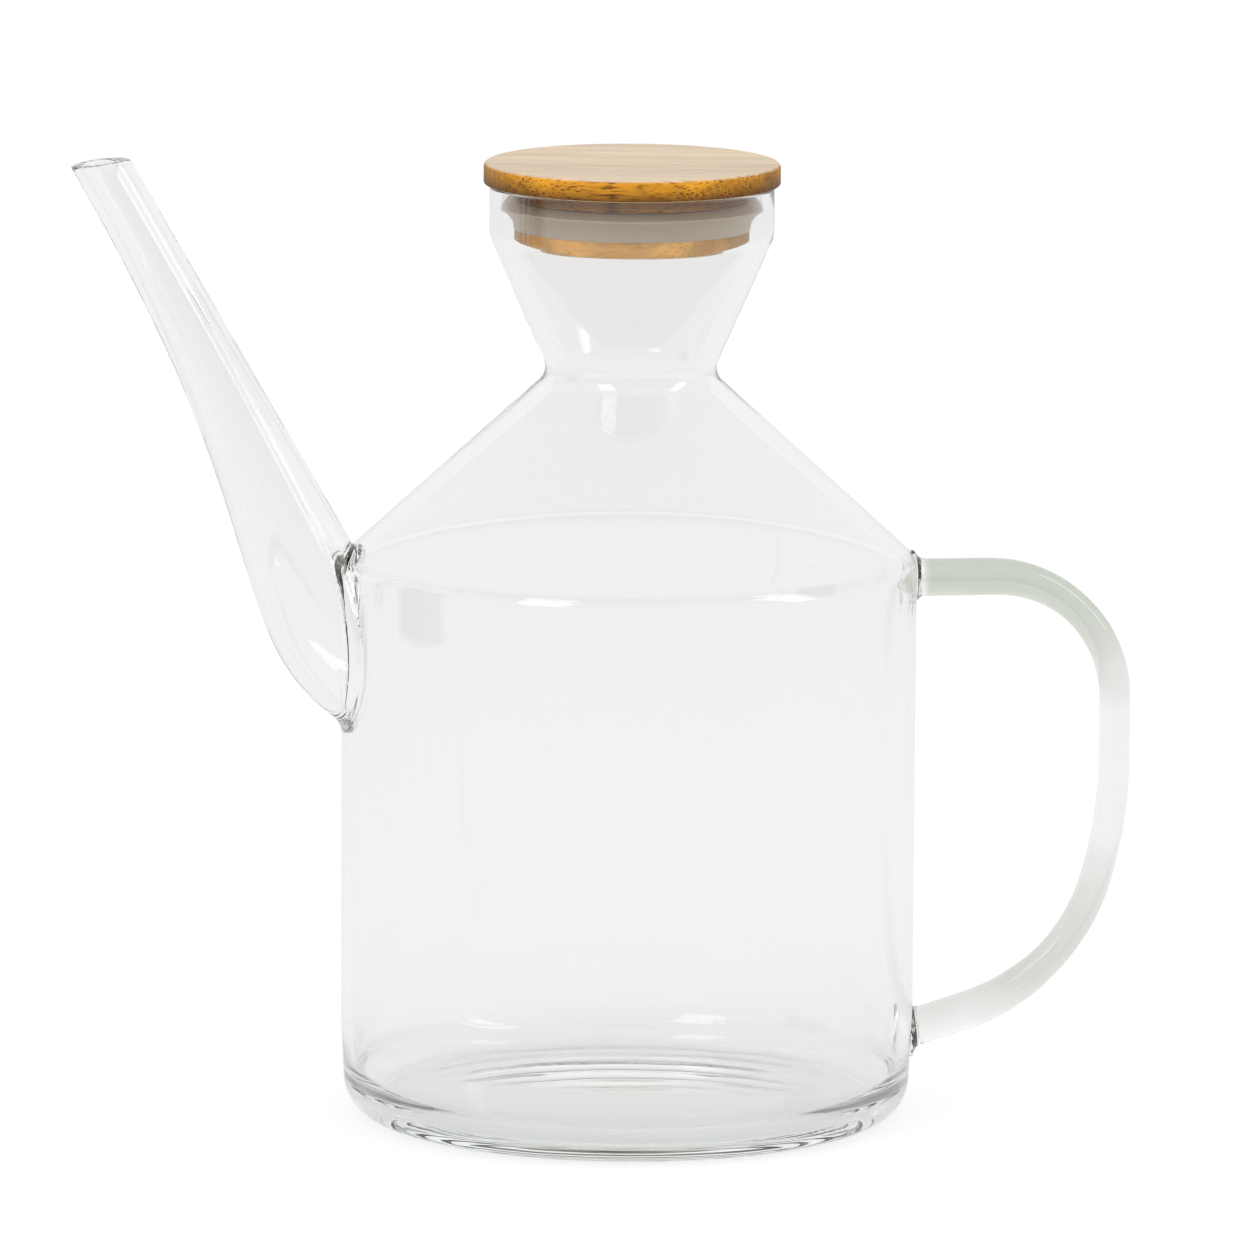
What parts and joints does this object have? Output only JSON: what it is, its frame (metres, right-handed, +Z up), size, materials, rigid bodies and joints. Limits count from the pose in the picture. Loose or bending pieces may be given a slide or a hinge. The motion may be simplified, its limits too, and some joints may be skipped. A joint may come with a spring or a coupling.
{
  "type": "oil cruet",
  "caption": "Clear blown-glass oil cruet with a cylindrical body, conical shoulder, flared funnel mouth, long curved pouring spout, rod loop handle and a bamboo lid with a sealing ring.",
  "frame": {"origin": "on the table under the middle of the cylindrical body, on the body's own axis", "axes": "+Z up along the body's axis, the spout leans out towards -X, the handle stands out towards +X, and -Y faces the viewer"},
  "size_m": [0.2047, 0.11, 0.1859],
  "materials": {
    "clear_glass": "clear, fire-polished",
    "bamboo": "satin, laminated strips",
    "silicone": "translucent grey, matte"
  },
  "bodies": {
    "root": {"glass_cruet": "clear_glass", "bamboo_lid": "bamboo", "silicone_ring": "silicone"}
  },
  "joints": []
}
